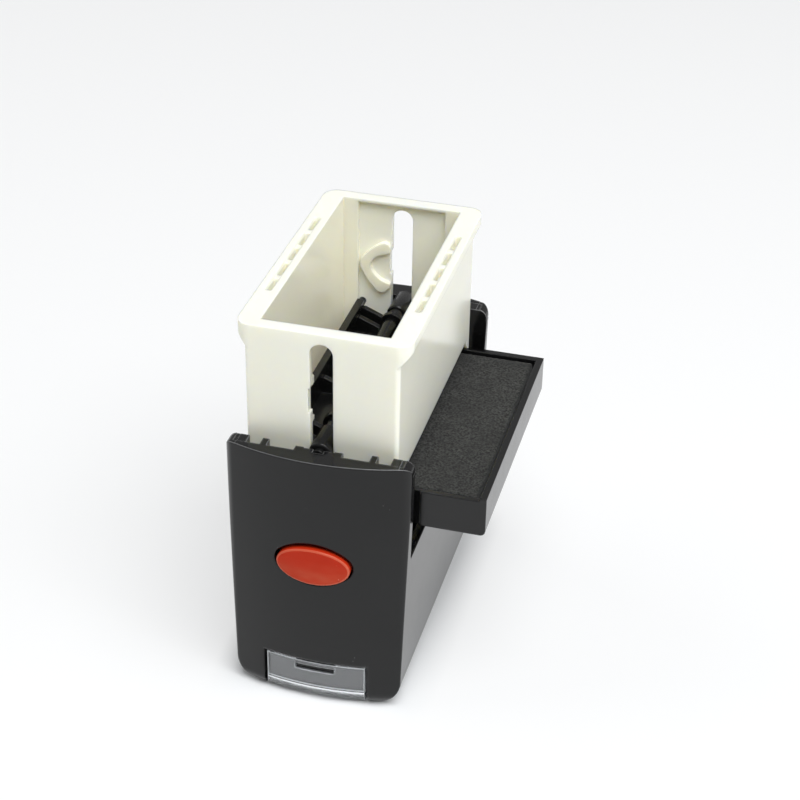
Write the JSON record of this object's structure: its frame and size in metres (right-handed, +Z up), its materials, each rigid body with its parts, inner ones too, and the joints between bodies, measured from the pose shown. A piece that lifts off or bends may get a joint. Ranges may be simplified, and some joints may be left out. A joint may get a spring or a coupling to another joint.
{
  "type": "self-inking stamp",
  "caption": "Self-inking stamp standing on its bowed cap, with a flip-over printing plate in an open frame, a sliding ink tray and oval lock buttons.",
  "frame": {"origin": "middle of the flat strip along the crown of the cap's clear window, on which the stamp stands upside down", "axes": "+Z up from the cap to the foot rim, +Y along the stamp's length to its rear end, +X to the side on which the ink tray is drawn out"},
  "size_m": [0.0574, 0.0842, 0.0936],
  "materials": {
    "cap_black": "glossy moulded black",
    "window_clear": "clear polished",
    "spring_steel": "drawn wire",
    "button_red": "satin moulded red",
    "frame_ivory": "glossy moulded ivory",
    "tray_black": "satin moulded black",
    "pad_felt": "ink-soaked felt",
    "carrier_black": "satin moulded black",
    "cushion_foam": "foam",
    "plate_rubber": "engraved rubber"
  },
  "bodies": {
    "cap": {"cap_shell": "cap_black", "index_window": "window_clear", "return_spring": "spring_steel"},
    "frame": {"base_frame": "frame_ivory"},
    "tray": {"ink_tray": "tray_black", "ink_pad": "pad_felt"},
    "platen": {"platen_carrier": "carrier_black", "platen_axle": "carrier_black", "axle_collar_front": "carrier_black", "axle_collar_rear": "carrier_black", "die_cushion": "cushion_foam", "text_plate": "plate_rubber"},
    "button_front": {"lock_button_front": "button_red"},
    "button_rear": {"lock_button_rear": "button_red"}
  },
  "joints": [
    {"name": "frame_press", "type": "slide", "parent": "cap", "child": "frame", "axis": [0, 0, -1], "range_m": [0, 0.0067], "stiffness_N_per_m": 500, "springref_m": -0.006, "deforming": ["return_spring"]},
    {"name": "tray_slide", "type": "slide", "parent": "frame", "child": "tray", "axis": [1, 0, 0], "range_m": [-0.0192, 0.017]},
    {"name": "platen_turn", "type": "hinge", "parent": "cap", "child": "platen", "pos_m": [0, 0, 0.0653], "axis": [0, -1, 0], "range_deg": [0, 57.5]},
    {"name": "button_front_release", "type": "slide", "parent": "cap", "child": "button_front", "axis": [0, -1, 0], "range_m": [0, 0.0016]},
    {"name": "button_rear_release", "type": "slide", "parent": "cap", "child": "button_rear", "axis": [0, 1, 0], "range_m": [0, 0.0016]}
  ],
  "couplings": [
    {"joint": "platen_turn", "follows": "frame_press", "rad_per_m": 149.6}
  ]
}
